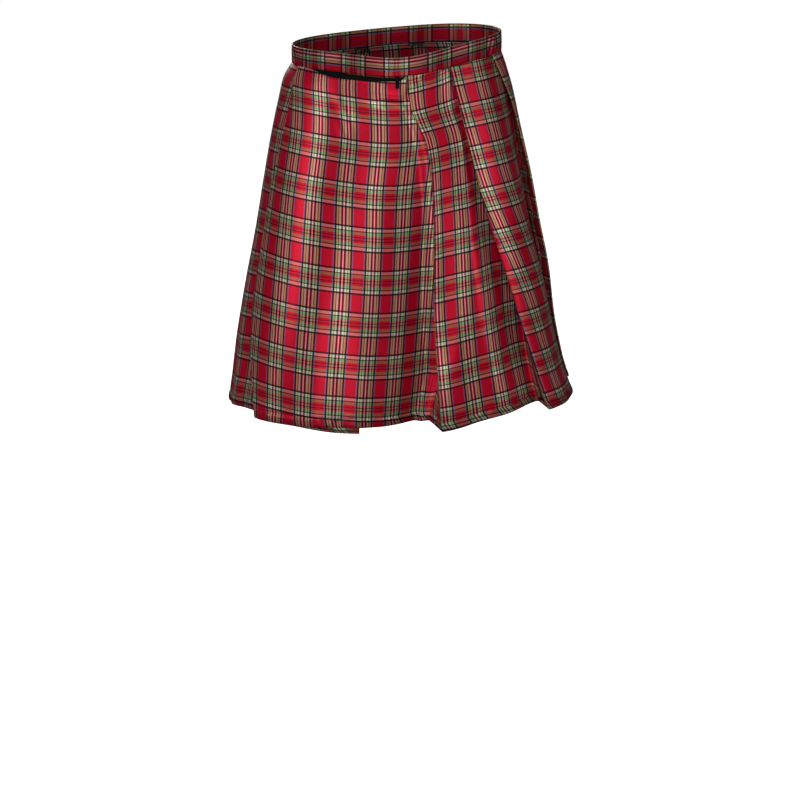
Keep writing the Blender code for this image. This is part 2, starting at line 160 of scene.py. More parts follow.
def measure_drops():
    """How far below the seam each level lies, so that the cloth keeps its length."""
    every = int(DROP_ANGLES[1] - DROP_ANGLES[0])
    spots = np.array([Ring(share).spots[::every] for share in DROP_SHARES])
    sideways = np.linalg.norm(np.diff(spots, axis=0), axis=2)
    length = SKIRT_LENGTH * np.diff(DROP_SHARES)[:, None]
    drops = np.cumsum(np.sqrt(length**2 - sideways**2), axis=0)
    return np.vstack((np.zeros(len(DROP_ANGLES)), drops))


DROPS = measure_drops()


def cloth_height(share, degrees, out, sag):
    """Height of the cloth at a share of the skirt's length."""
    level = [np.interp(share, DROP_SHARES, DROPS[:, i]) for i in range(len(DROP_ANGLES))]
    drop = np.interp(degrees, DROP_ANGLES, level)
    tilt = HEM_TILT * share * np.sin(np.radians(degrees))
    hang = RIDGE_SAG * np.maximum(out, 0.0) * share + sag * share**SAG_POWER
    return seam_height(degrees) - drop + tilt - hang


# A pleat is known by its leading fold. angles says where that fold is at each level,
# turns how far the cloth turns in the tuck under it: 180 is pressed flat. depths is the
# tuck's depth at waist and hem, recess how far in its inner fold lies at the hem, sag
# how much lower the leading fold hangs there, in mm. grain is the length of cloth in mm
# from the leading fold to the middle of the pale line beside it, at each level.
LEVELS = (0.0, 0.1, 0.2, 0.36, 0.68, 1.0)
PRESSED = (180, 176, 172, 164, 140, 100)
PLEAT_COLUMNS = ("name", "angles", "turns", "depths", "recess", "sag", "grain")
PLEATS = (
    ("apron_edge", (-74, -71, -71, -73, -69, -58), (180, 176, 170, 158, 115, 60),
     (16, 16), 4, 3, (5, 10, 20, 31, 43, 25)),
    ("pleat_1", (7, 11, 20, 22, 20, 22), (180, 177, 173, 168, 138, 68),
     (50, 50), 28, 7, (16, 10, 4, 1, 1, 2)),
    ("pleat_2", (39, 41, 43, 45.5, 52, 57.5), PRESSED, (45, 28), 4, 4, (0, 0, 1, 6, 26, 30)),
    ("pleat_3", (72, 77, 82, 85, 90, 97), PRESSED, (45, 14), 0, 3, (10, 10, 10, 10, 10, 10)),
    ("pleat_4", (104, 109, 113, 117, 120, 123), PRESSED, (45, 25), 0, 3, (10, 10, 10, 12, 14, 16)),
    ("pleat_5", (137, 143, 148, 151, 155, 158), PRESSED, (45, 25), 0, 3, (10, 10, 10, 12, 14, 16)),
    ("pleat_6", (179, 183, 185, 188, 193, 197), PRESSED, (45, 25), 0, 3, (10, 10, 10, 12, 14, 16)),
    ("pleat_7", (220, 221, 221, 222, 228, 233), PRESSED, (45, 25), 0, 3, (10, 10, 10, 12, 14, 16)),
    ("pleat_8", (254, 254, 253, 253, 260, 267), PRESSED, (45, 24), 0, 3, (10, 10, 10, 12, 14, 16)),
)
PLEAT_NAMES = [row[0] for row in PLEATS]

# Where the cloth has slipped on its faces: mm to the viewer's right and mm down, at each
# face's leading fold, in its middle and at its far end.
SLIP_PLACES = (0.0, 0.5, 1.0)
SLIP_COLUMNS = ("face", "share", "right", "down")
SLIPS = (
    ("apron_edge", 0.00, (3, 4, 3), (-5, 0, 5)),
    ("apron_edge", 0.25, (18, 19, 18), (-12, -3, 0)),
    ("apron_edge", 0.50, (20, 36, 27), (-16, -4, 0)),
    ("apron_edge", 0.75, (22, 39, 35), (-17, -5, 0)),
    ("apron_edge", 1.00, (15, 20, 22), (-17, -5, 0)),
    ("pleat_1", 0.00, (0, 0, 0), (20, 15, 10)),
    ("pleat_1", 0.25, (3, -8, -10), (12, 11, 12)),
    ("pleat_1", 1.00, (4, 4, 0), (4, 7, 12)),
    ("pleat_2", 0.00, (4, 4, 4), (22, 25, 28)),
    ("pleat_2", 1.00, (6, 6, 6), (16, 20, 25)),
)
EDGE_RADIUS = (0.9 * MM, 2.2 * MM)    # of a pleat's leading fold, at waist and hem
TUCK_RADIUS = (0.9 * MM, 4.0 * MM)    # of the fold inside a pleat, at waist and hem
LEAST_STRETCH = 6 * MM      # of a face beside its folds, where a pleat has opened
SEAM_GAP = 0.3 * MM         # between two panels, which meet half way down a tuck
RECESS_POWER = 5            # how late across its face the cloth sinks into the next tuck
FOLDS_FADE_IN = 0.12        # shares of a face in which its folds and creases come in
FOLDS_FADE_OUT = 0.06       # and go out again

# Large soft folds down the faces. top and hem are places across the face as shares of
# its width, width a half width in the same measure, depth in mm at the hem, less than 0
# for a hollow, and start the share of the skirt's length at which the fold begins.
SOFT_FOLD_COLUMNS = ("face", "top", "hem", "width", "depth", "start")
SOFT_FOLDS = (
    ("apron_edge", 0.97, 1.00, 0.31, -18, 0.00),
    ("apron_edge", 0.40, 0.36, 0.24, 7, 0.20),
    ("apron_edge", 0.62, 0.60, 0.12, 4, 0.45),
    ("pleat_1", 0.66, 0.62, 0.34, 9, 0.25),
    ("pleat_2", 0.50, 0.50, 0.24, 6, 0.30),
    ("pleat_3", 0.50, 0.45, 0.24, 7, 0.25),
    ("pleat_4", 0.45, 0.50, 0.22, 6, 0.35),
    ("pleat_5", 0.55, 0.50, 0.24, 7, 0.30),
    ("pleat_6", 0.45, 0.48, 0.24, 6, 0.25),
    ("pleat_7", 0.50, 0.45, 0.22, 7, 0.35),
    ("pleat_8", 0.50, 0.50, 0.24, 6, 0.30),
)

# Creases: at is the place along the level line from the middle of the front and down the
# length of cloth from the seam, both in mm. reach and width are the crease's half length
# and half width, height what it stands out, lean its angle from the upright, in degrees,
# towards the viewer's right at its lower end.
CREASE_COLUMNS = ("face", "at", "down", "reach", "width", "height", "lean")
CREASES = (
    ("apron_edge", -72, 70, 34, 9, 2.2, 24),
    ("apron_edge", -84, 84, 30, 9, -2.0, 22),
    ("apron_edge", -8, 44, 30, 5, -3.6, 80),
    ("apron_edge", 4, 32, 26, 6, 1.8, 84),
    ("apron_edge", 26, 120, 60, 12, -2.5, 8),
    ("pleat_1", 24, 8, 16, 4, 2.6, 35),
    ("pleat_1", 32, 14, 16, 4, -2.2, 35),
    ("pleat_1", 70, 240, 120, 16, -3.0, 4),
)


def soft_folds(face, across, share):
    """How far the soft folds push a face out."""
    push = np.zeros_like(across)
    for row in SOFT_FOLDS:
        fold = dict(zip(SOFT_FOLD_COLUMNS, row))
        if fold["face"] != face or share <= fold["start"]:
            continue
        grown = smooth((share - fold["start"]) / (1 - fold["start"]))
        middle = fold["top"] + (fold["hem"] - fold["top"]) * share
        away = np.minimum(abs(across - middle) / fold["width"], 1.0)
        push += fold["depth"] * MM * grown * (0.5 + 0.5 * np.cos(math.pi * away))
    return push


def creases(face, place, share):
    """How far the creases push a face out."""
    push = np.zeros_like(place)
    for row in CREASES:
        crease = dict(zip(CREASE_COLUMNS, row))
        if crease["face"] != face:
            continue
        lean = math.radians(crease["lean"])
        side = place / MM - crease["at"]
        down = share * SKIRT_LENGTH / MM - crease["down"]
        along = side * math.sin(lean) + down * math.cos(lean)
        off = side * math.cos(lean) - down * math.sin(lean)
        push += crease["height"] * MM * np.exp(-(along / crease["reach"])**2
                                               - (off / crease["width"])**2)
    return push


class Tuck:
    """The fold under one pleat's leading edge, at one level.

    Its runs are rows of place, distance out, the two parts of the cloth's outward
    normal, and sag.
    """

    def __init__(self, row, ring, rounds=0):
        pleat = dict(zip(PLEAT_COLUMNS, row))
        share = ring.share
        low, high = pleat["depths"]
        self.edge = ring.place(through(LEVELS, pleat["angles"], share) + 360 * rounds)
        self.depth = (low + (high - low) * share) * MM
        self.turn = math.radians(through(LEVELS, pleat["turns"], share))
        self.recess = pleat["recess"] * MM * share
        self.sag = pleat["sag"] * MM
        self.grain = through(LEVELS, pleat["grain"], share) * MM
        self.edge_radius = EDGE_RADIUS[0] + (EDGE_RADIUS[1] - EDGE_RADIUS[0]) * share
        self.tuck_radius = TUCK_RADIUS[0] + (TUCK_RADIUS[1] - TUCK_RADIUS[0]) * share
        both = self.edge_radius + self.tuck_radius
        self.lift = (both * (1 - math.cos(self.turn)) + self.depth * math.sin(self.turn)
                     - self.recess)
        self.travel = self.depth * math.cos(self.turn) + both * math.sin(self.turn)
        self.start = self.edge - self.travel

    def inner_fold(self, count):
        heading = self.turn * np.linspace(0, 1, count)
        return np.stack((self.start + self.tuck_radius * np.sin(heading),
                         self.tuck_radius * (1 - np.cos(heading)) - self.recess,
                         -np.sin(heading), np.cos(heading), 0 * heading), axis=1)

    def back_run(self, begin, end, count):
        place, out, along, away, _ = self.inner_fold(2)[-1]
        part = np.linspace(begin, end, count)
        way = self.depth * part
        return np.stack((place + way * math.cos(self.turn), out + way * math.sin(self.turn),
                         along + 0 * part, away + 0 * part, self.sag * part), axis=1)

    def leading_fold(self, count):
        place, out, *_ = self.back_run(1.0, 1.0, 1)[0]
        radius = self.edge_radius
        middle = (place + radius * math.sin(self.turn), out - radius * math.cos(self.turn))
        heading = self.turn * np.linspace(1, 0, count)
        return np.stack((middle[0] - radius * np.sin(heading),
                         middle[1] + radius * np.cos(heading),
                         -np.sin(heading), np.cos(heading), self.sag + 0 * heading), axis=1)


def face_run(name, tuck, following, share, count):
    """A pleat's face, from its leading fold to the fold inside the next pleat."""
    begin, end = tuck.edge, following.start
    covered = max(tuck.start, begin + LEAST_STRETCH)
    landed = min(following.edge - 2 * LAYER, end - LEAST_STRETCH)
    place = np.linspace(begin, end, count + 2)[1:-1]

    def out(place):
        fall = smooth((place - covered) / (landed - covered))
        across = np.clip((place - begin) / (landed - begin), 0, 1)
        fade = smooth(across / FOLDS_FADE_IN) * smooth((1 - across) / FOLDS_FADE_OUT)
        level = tuck.lift * (1 - fall) - following.recess * across**RECESS_POWER
        push = soft_folds(name, across, share) + creases(name, place, share)
        return level + push * fade

    slope = (out(place + LAYER) - out(place - LAYER)) / (2 * LAYER)
    size = np.hypot(1.0, slope)
    sag = tuck.sag * (1 - smooth((place - begin) / (landed - begin) / SAG_REACH))
    return np.stack((place, out(place), -slope / size, 1 / size, sag), axis=1)


# How finely each run of the cloth is laid: points in it.
HALF_RUN, FOLD_POINTS, BACK_POINTS = 5, 7, 8
PLEAT_FACE, APRON_FACE = 44, 90
SKIRT_ROWS = 150

CLOTH_THICK = 0.45 * MM     # the real cloth
SETT_ACROSS = 46.5 * MM     # one repeat of the tartan across the cloth
SETT_DOWN = 65.5 * MM       # and down it


def slip_of(face, way, share, across):
    """How far the cloth has slipped one way, at places across a face."""
    table = [row for row in SLIPS if row[0] == face]
    if not table:
        return 0 * across
    shares = column(table, SLIP_COLUMNS, "share")
    slips = zip(*column(table, SLIP_COLUMNS, way))
    return through(SLIP_PLACES, [through(shares, slip, share) for slip in slips], across) * MM


def pleat_runs(names, share):
    """The cloth's path at one level through the pleats of one panel, with each face's
    own measure across and down on it, and where each fold and face end is in it."""
    ring = Ring(share)
    first = PLEAT_NAMES.index(names[0])
    table = [PLEATS[(first + i) % len(PLEATS)] for i in range(len(names) + 1)]
    rounds = [(first + i) // len(PLEATS) for i in range(len(names) + 1)]
    tucks = [Tuck(row, ring, turn) for row, turn in zip(table, rounds)]
    half = SEAM_GAP / 2
    runs = [tucks[0].back_run(0.5 + half / tucks[0].depth, 1.0, HALF_RUN)[:-1]]
    folds, ends = [], []
    for index, name in enumerate(names):
        tuck, following = tucks[index], tucks[index + 1]
        folds.append(sum(map(len, runs)) + FOLD_POINTS // 2)
        runs.append(tuck.leading_fold(FOLD_POINTS))
        count = APRON_FACE if name == "apron_edge" else PLEAT_FACE
        runs.append(face_run(name, tuck, following, share, count))
        ends.append(sum(map(len, runs)))
        runs.append(following.inner_fold(FOLD_POINTS))
        if index + 1 < len(names):
            runs.append(following.back_run(0.0, 1.0, BACK_POINTS)[1:-1])
    runs.append(tucks[-1].back_run(0.0, 0.5 - half / tucks[-1].depth, HALF_RUN)[1:])
    path = np.concatenate(runs)
    flat = ring.point(path[:, 0], path[:, 1])
    steps = np.linalg.norm(np.diff(flat, axis=0), axis=1)
    measure = np.concatenate(([0.0], np.cumsum(steps)))
    stripes, rows = [], []
    for name, tuck, fold, end in zip(names, tucks, folds, ends):
        across = np.clip((measure - measure[fold]) / (measure[end] - measure[fold]), 0, 1)
        stripes.append(measure - measure[fold] - tuck.grain
                       - slip_of(name, "right", share, across))
        rows.append(-slip_of(name, "down", share, across))
    return ring, path, stripes, rows, folds, ends


def setts_in_tuck(names):
    """Whole repeats of the tartan between two faces' stripes, counted half way down."""
    _, _, stripes, _, folds, _ = pleat_runs(names, 0.5)
    return round((stripes[0][folds[1]] - stripes[1][folds[1]]) / SETT_ACROSS)


SKIRT_PANELS = (
    ("front_apron", ("apron_edge",)),
    ("right_pleats", ("pleat_1", "pleat_2")),
    ("back_right_pleats", ("pleat_3", "pleat_4")),
    ("back_left_pleats", ("pleat_5", "pleat_6")),
    ("left_pleats", ("pleat_7", "pleat_8")),
)
SETTS_IN_TUCK = {names: setts_in_tuck(names) for _, names in SKIRT_PANELS if len(names) > 1}


def run_of_cloth(names, share):
    """The cloth's path at one level for one panel, and the cloth's own measure on it:
    how far across each point lies, and how far its rows are ahead."""
    ring, path, stripes, rows, folds, ends = pleat_runs(names, share)
    if len(names) == 1:
        return ring, path, stripes[0], rows[0]
    # the hidden part of the tuck takes up what drifts
    blend = smooth((np.arange(len(path)) - ends[0])
                   / (folds[1] - FOLD_POINTS // 2 - ends[0]))
    second = stripes[1] + SETT_ACROSS * SETTS_IN_TUCK[names]
    return (ring, path, stripes[0] * (1 - blend) + second * blend,
            rows[0] * (1 - blend) + rows[1] * blend)


RUCK = 0.5 * MM             # the cloth's small unevenness
RUCK_BROAD = (55 * MM, 120 * MM)    # length of its waves across and down
RUCK_FINE = (22 * MM, 60 * MM)
RUCK_FINE_SHARE = 0.4
RUCK_SEED = 7.3
RUCK_GROWS_OVER = 0.05      # share of the length below the flat seam


def ruck(panel, place, share):
    """The cloth's unevenness at places across a panel, before it is scaled to RUCK."""
    seed = RUCK_SEED * len(panel)

    def wave(spot, length):
        across, down = length
        return noise.noise(Vector((spot / across, share * SKIRT_LENGTH / down, seed)))

    return np.array([wave(spot, RUCK_BROAD) + RUCK_FINE_SHARE * wave(spot, RUCK_FINE)
                     for spot in place])


HEM_TURN = 12 * MM          # cloth turned up inside the hem and stitched
HEM_RADIUS = 0.55 * MM
EVEN_ROWS_TO = 1.6          # the rows are closer below this height, in turned up widths
HEM_GROOVE = 0.8 * MM       # depth of the line where its stitching pulls the face in
HEM_SWELL = 0.5 * MM        # how much the doubled strip stands out below that line
HEM_PUCKER = 0.4 * MM       # waves along the strip between the stitches
HEM_WAVE = 17 * MM
HEM_WAVE_DRIFT = 1.8        # how unevenly the waves follow each other
HEM_DRIFT_EVERY = 31 * MM   # and over what length that comes and goes
# heights of these forms above the hem and their half widths, in turned up widths
GROOVE_AT, GROOVE_WIDTH = 1.08, 0.16
SWELL_TOP, SWELL_TOP_OVER, SWELL_FOOT_OVER = 1.05, 0.25, 0.15
PUCKER_AT, PUCKER_WIDTH = 0.85, 0.45
HEM_SKEWS = (0.08, 0.55)    # how the stitching drags the strip sideways, left and right
HEM_SKEW_FROM = -40 * MM    # where that begins to grow, and over what width
HEM_SKEW_OVER = 70 * MM
HEM_SKEW_WAVES = ((0.10, 23 * MM), (0.06, 9 * MM))    # its unevenness, and how often


def hem_rows():
    """Rows of the grid: share of the length, distance in behind the face, cloth's length."""
    near_hem = (1.5, 1.32, 1.18, 1.08, 1.0, 0.92, 0.82, 0.68, 0.5, 0.25, 0.0)
    round_the_edge = (0.25, 0.5, 0.75, 1.0)
    up_inside = (0.33, 0.66, 1.0)
    even_rows_end = 1 - EVEN_ROWS_TO * HEM_TURN / SKIRT_LENGTH
    shares = [share for share in np.linspace(0.0, 1.0, SKIRT_ROWS) if share < even_rows_end]
    shares += [1 - part * HEM_TURN / SKIRT_LENGTH for part in near_hem]
    rows = [(share, 0.0, share * SKIRT_LENGTH) for share in shares]
    for part in round_the_edge:
        turn = math.pi * part
        rows.append((1.0 + HEM_RADIUS * math.sin(turn) / SKIRT_LENGTH,
                     HEM_RADIUS * (1 - math.cos(turn)),
                     SKIRT_LENGTH + HEM_RADIUS * turn))
    for part in up_inside:
        rows.append((1.0 - HEM_TURN * part / SKIRT_LENGTH, 2 * HEM_RADIUS,
                     SKIRT_LENGTH + HEM_RADIUS * math.pi + HEM_TURN * part))
    return rows


def hem_relief(place, above):
    """How far the sewn hem pushes the face out, at a height above the cut edge."""
    part = above / HEM_TURN
    groove = -HEM_GROOVE * math.exp(-((part - GROOVE_AT) / GROOVE_WIDTH)**2)
    swell_top = float(smooth((SWELL_TOP - part) / SWELL_TOP_OVER))
    swell = HEM_SWELL * swell_top * float(smooth(part / SWELL_FOOT_OVER))
    ripple = HEM_PUCKER * math.exp(-((part - PUCKER_AT) / PUCKER_WIDTH)**2)
    drift = HEM_WAVE_DRIFT * np.sin(place / HEM_DRIFT_EVERY)
    return groove + swell + ripple * np.sin(2 * math.pi * place / HEM_WAVE + drift)


def hem_skew(place):
    """How far sideways the stripes run for each step down the sewn strip."""
    low, high = HEM_SKEWS
    uneven = sum(size * np.sin(place / every) for size, every in HEM_SKEW_WAVES)
    return low + (high - low) * smooth((place - HEM_SKEW_FROM) / HEM_SKEW_OVER) + uneven


def lay_grid(name, spots, cloth, doubled):
    """A flat grid, each of whose points is then laid in its place on the form."""
    rows, columns = spots.shape[:2]
    grid = bmesh.new()
    bmesh.ops.create_grid(grid, x_segments=columns - 1, y_segments=rows - 1, size=1)
    weave = grid.loops.layers.uv.new("cloth")
    # marks doubled cloth, which the material darkens as painted shade
    doubled_shade_layer = grid.verts.layers.float.new("doubled")
    places = {}
    for vertex in grid.verts:
        step = round((vertex.co.x + 1) / 2 * (columns - 1))
        level = round((1 - vertex.co.y) / 2 * (rows - 1))
        places[vertex] = (level, step)
        vertex.co = spots[level, step]
        vertex[doubled_shade_layer] = doubled[level, step]
    for face in grid.faces:
        face.smooth = True
        for loop in face.loops:
            loop[weave].uv = cloth[places[loop.vert]]
    data = bpy.data.meshes.new(name)
    grid.to_mesh(data)
    grid.free()
    piece = bpy.data.objects.new(name, data)
    bpy.context.scene.collection.objects.link(piece)
    return piece


class Strand:
    """A socket of a material's nodes. Sums and products of strands add Math nodes."""

    def __init__(self, tree, socket=None):
        self.tree = tree
        self.socket = socket

    def add(self, kind, settings=None, inputs=None, output=0):
        """Adds one node, with its settings first and its sockets' values or links after."""
        node = self.tree.nodes.new("ShaderNode" + kind)
        for name, value in (settings or {}).items():
            if name == "stops":
                node.color_ramp.interpolation = "CONSTANT"
                marks = node.color_ramp.elements
                while len(marks) > 1:
                    marks.remove(marks[-1])
                for index, (position, colour) in enumerate(value):
                    mark = marks[0] if index == 0 else marks.new(position)
                    mark.position = position
                    mark.color = colour
            else:
                setattr(node, name, value)
        for name, value in (inputs or {}).items():
            if isinstance(value, Strand):
                self.tree.links.new(value.socket, node.inputs[name])
            else:
                node.inputs[name].default_value = value
        return Strand(self.tree, node.outputs[output] if node.outputs else None)

    def also(self, output):
        """Another output of this strand's node."""
        return Strand(self.tree, self.socket.node.outputs[output])

    def maths(self, operation, first, second):
        return self.add("Math", {"operation": operation}, {0: first, 1: second})

    def __add__(self, other):
        return self.maths("ADD", self, other)

    def __sub__(self, other):
        return self.maths("SUBTRACT", self, other)

    def __rsub__(self, other):
        return self.maths("SUBTRACT", other, self)

    def __mul__(self, other):
        return self.maths("MULTIPLY", self, other)

    def __truediv__(self, other):
        return self.maths("DIVIDE", self, other)

    __radd__ = __add__
    __rmul__ = __mul__

    def blend(self, first, second):
        """Two colours mixed by this strand."""
        return self.add("Mix", {"data_type": "RGBA"}, {0: self, 6: first, 7: second},
                        output=2)


def dye(red, green, blue):
    """A colour from its 0 to 255 values, as light."""
    parts = [value / 255 for value in (red, green, blue)]
    return [p / 12.92 if p < 0.04045 else ((p + 0.055) / 1.055)**2.4 for p in parts]


YARNS = {
    "red": dye(194, 16, 48),
    "black": dye(42, 14, 18),
    "azure": dye(110, 104, 150),
    "tan": dye(180, 172, 120),
    "sage": dye(188, 196, 168),
    "white": dye(244, 240, 226),
    "pink": dye(255, 165, 176),
    "green": dye(84, 150, 96),
}
# The tartan, charted from the middle of one stripe to the middle of the red ground. The
# other half of each repeat mirrors it. Each row is a yarn, its stripe's width in mm, and
# its cover: how strongly that yarn shows where it crosses another.
ACROSS_CHART = (
    ("pink", 1.0, 0.5),
    ("black", 3.0, 0.5),
    ("sage", 3.0, 0.3),
    ("black", 1.0, 0.6),
    ("tan", 2.75, 0.3),
    ("black", 2.25, 4.0),
    ("azure", 2.0, 0.4),
    ("red", 8.25, 0.5),
)
DOWN_CHART = (
    ("red", 1.5, 0.25),
    ("black", 1.5, 1.0),
    ("red", 3.25, 0.25),
    ("green", 4.5, 0.25),
    ("black", 1.75, 1.0),
    ("white", 4.5, 0.1),
    ("black", 2.75, 3.0),
    ("red", 13.0, 0.25),
)


def chart_stops(chart, repeat):
    """A chart as a ramp's stops: place in the half repeat, colour, and cover as alpha."""
    stops, place = [], 0.0
    for yarn, width, cover in chart:
        stops.append((place / (repeat / MM / 2), (*YARNS[yarn], cover)))
        place += width
    return stops


THREAD = 0.36 * MM          # width of one yarn in the twill
# how strongly the yarns across show in a rib's hollow, and how much more on top of it
RIB_HOLLOW, RIB_RISE = 0.7, 0.6
# waves a metre, across and down: thick and thin places along the yarns that run down and
# along the ones that run across, and broad light and dark places
DOWN_SLUBS = (2200, 45)
ACROSS_SLUBS = (40, 1900)
CLOUDS = (14, 9)
TONE_LEAST, TONE_SLUB, TONE_CLOUD = 0.72, 0.44, 0.10
# painted shade: doubled cloth, which is the sewn hem and the whole waistband, is darkened in its
# colour to stand in for the light that shines through one thin layer but not through two
DOUBLED_PAINTED_SHADE = 0.30       # less light comes through two layers than through one
CLOTH_ROUGHNESS = 0.36
SLUB_ROUGHNESS = 0.12       # how much rougher a thick place is than a thin one
CLOTH_METALLIC = 0.3        # a satin yarn shines in its own colour
CLOTH_SPECULAR = 0.12
RIB_HEIGHT = 0.06 * MM
RIB_STRENGTH = 0.25
SLUB_HEIGHT = 0.6           # as a share of a rib's


def tartan(name):
    """Light tartan twill: stripes across and down, mixed by how they cover each other."""
    material = bpy.data.materials.new(name)
    material.use_nodes = True
    tree = material.node_tree
    tree.nodes.clear()
    start = Strand(tree)
    spot = start.add("UVMap", {"uv_map": "cloth"})
    across = start.add("SeparateXYZ", {}, {0: spot}, output=0)
    down = across.also(1)

    def stripes(measure, chart, repeat):
        mirrored = start.maths("PINGPONG", measure / (repeat / 2), 1.0)
        ramp = start.add("ValToRGB", {"stops": chart_stops(chart, repeat)}, {0: mirrored})
        return ramp, ramp.also(1)

    warp, warp_cover = stripes(across, ACROSS_CHART, SETT_ACROSS)
    weft, weft_cover = stripes(down, DOWN_CHART, SETT_DOWN)

    # 2/2 twill: which of the two yarns is on top, thread by thread
    rib = start.maths("PINGPONG", (across + down) / (2 * THREAD), 1.0)
    weft_shown = weft_cover * (RIB_HOLLOW + RIB_RISE * rib)
    colour = (weft_shown / (warp_cover + weft_shown)).blend(warp, weft)

    # each yarn a little lighter or darker along its length
    def yarn_tone(x_scale, y_scale):
        stretched = start.add("CombineXYZ", {}, {0: across * x_scale, 1: down * y_scale})
        return start.add("TexNoise", {"noise_dimensions": "2D"},
                         {"Vector": stretched, "Scale": 1.0, "Detail": 1.0})

    slub = yarn_tone(*DOWN_SLUBS) * 0.5 + yarn_tone(*ACROSS_SLUBS) * 0.5
    cloud = yarn_tone(*CLOUDS)
    layers = start.add("Attribute", {"attribute_name": "doubled"}, output=2)
    one_layer = TONE_LEAST + TONE_SLUB * slub + TONE_CLOUD * cloud
    # painted shade of doubled cloth, multiplied into the yarns' colour
    tone = one_layer * (1.0 - DOUBLED_PAINTED_SHADE * layers)
    grey = start.add("CombineColor", {}, {0: tone, 1: tone, 2: tone})
    shade = start.add("Mix", {"data_type": "RGBA", "blend_type": "MULTIPLY"},
                      {0: 1.0, 6: colour, 7: grey}, output=2)
    bump = start.add("Bump", {}, {"Strength": RIB_STRENGTH, "Distance": RIB_HEIGHT,
                                  "Height": rib + SLUB_HEIGHT * slub})
    shader = start.add("BsdfPrincipled", {}, {
        "Base Color": shade, "Roughness": CLOTH_ROUGHNESS + SLUB_ROUGHNESS * (slub - 0.5),
        "Metallic": CLOTH_METALLIC, "Specular IOR Level": CLOTH_SPECULAR, "Normal": bump})
    start.add("OutputMaterial", {}, {0: shader})
    return material


tartan_cloth = tartan("tartan_cloth")


def finish_cloth(piece, node):
    """Gives a laid piece its cloth and thickness. It then shows in place of its node."""
    piece.data.materials.append(tartan_cloth)
    wall = piece.modifiers.new("cloth_thickness", "SOLIDIFY")
    wall.thickness = CLOTH_THICK
    wall.offset = 0.0
    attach(piece, "root")
    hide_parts(node)


# The slit: the apron's top edge hangs open below the band. drop is how far below, in mm,
# at shares of the way from its end at the viewer's left to its end at the right.
SLIT_FROM, SLIT_TO = -65, 6.5       # degrees
SLIT_REACH = 60 * MM        # down the apron, in which the lowered edge is taken up
SLIT_COLUMNS = ("share", "drop")
SLIT = (
    (0.00, 0.0),
    (0.10, 4.0),
    (0.22, 9.5),
    (0.36, 11.6),
    (0.60, 10.0),
    (0.84, 8.6),
    (0.96, 7.4),
    (1.00, 0.0),
)


def slit_drop(degrees):
    """How far the apron's top edge hangs below the band."""
    share = (degrees - SLIT_FROM) / (SLIT_TO - SLIT_FROM)
    if not 0 < share < 1:
        return 0.0
    shares = column(SLIT, SLIT_COLUMNS, "share")
    return through(shares, column(SLIT, SLIT_COLUMNS, "drop"), share) * MM


FIRST_ROW = 9 * MM          # of the chart at the waist seam, from the middle of a group
# heights above the hem, in turned up widths: below the first the cloth is doubled and gets the
# painted shade of two layers, and over the second that fades in
DOUBLED_TO, DOUBLED_FADE = 1.04, 0.1


def lay_panel(panel, names):
    """One stretch of the wrap, with its hem turned up inside."""
    spots, cloth, doubled = [], [], []
    for share, inside, length in hem_rows():
        ring, path, across, ahead = run_of_cloth(names, min(share, 1.0))
        place, out, along, away, sag = path.T
        side = np.where(away > -0.001, 1.0, -1.0)    # -1 where the cloth is turned back
        above = (1.0 - min(share, 1.0)) * SKIRT_LENGTH
        push = side * RUCK * ruck(panel, place, share) * smooth(share / RUCK_GROWS_OVER)
        push = push + hem_relief(place, above) - inside
        degrees = ring.angle(place)
        flat = ring.point(place + along * push, out + away * push)
        height = cloth_height(min(share, 1.0), degrees, out, sag)
        height -= max(share - 1.0, 0.0) * SKIRT_LENGTH
        skew = hem_skew(place) * max(length - (SKIRT_LENGTH - HEM_TURN), 0.0)
        spots.append(np.column_stack((flat, height)))
        cloth.append(np.column_stack((across - skew, ahead + length + FIRST_ROW)))
        in_hem = smooth((DOUBLED_TO * HEM_TURN - above) / (DOUBLED_FADE * HEM_TURN))
        doubled.append(in_hem + 0 * place)
    spots, cloth = np.array(spots), np.array(cloth)
    if panel == "front_apron":
        open_slit(spots, cloth)
    return lay_grid(panel + "_cloth", spots, cloth, np.array(doubled))


def open_slit(spots, cloth):
    """Takes the apron's top rows down from the band, closer together below."""
    ring, path, *_ = run_of_cloth(("apron_edge",), 0.0)
    count = int(SLIT_REACH / SKIRT_LENGTH * (SKIRT_ROWS - 1))
    for step, place in enumerate(path[:, 0]):
        drop = slit_drop(float(ring.angle(place)))
        if drop == 0.0:
            continue
        for grid in (spots, cloth):
            line = grid[:count + 1, step].copy()
            down = np.linspace(0, SLIT_REACH, count + 1)
            wanted = drop + (SLIT_REACH - drop) * down / SLIT_REACH
            for axis in range(line.shape[1]):
                grid[:count + 1, step, axis] = np.interp(wanted, down, line[:, axis])


def flat_width(names):
    """Width of the cut cloth of one stretch, measured along it at the hem."""
    _, _, across, _ = run_of_cloth(names, 1.0)
    return float(across[-1] - across[0])


for panel, names in SKIRT_PANELS:
    piece = lay_panel(panel, names)
    finish_cloth(piece, panel)
    flat_width(names)


# ================================================================================
# The waistband. A doubled strip of the same tartan with the cloth turned sideways:
# smooth over the front, and gathered on elastic round the sides and the back.
# ================================================================================

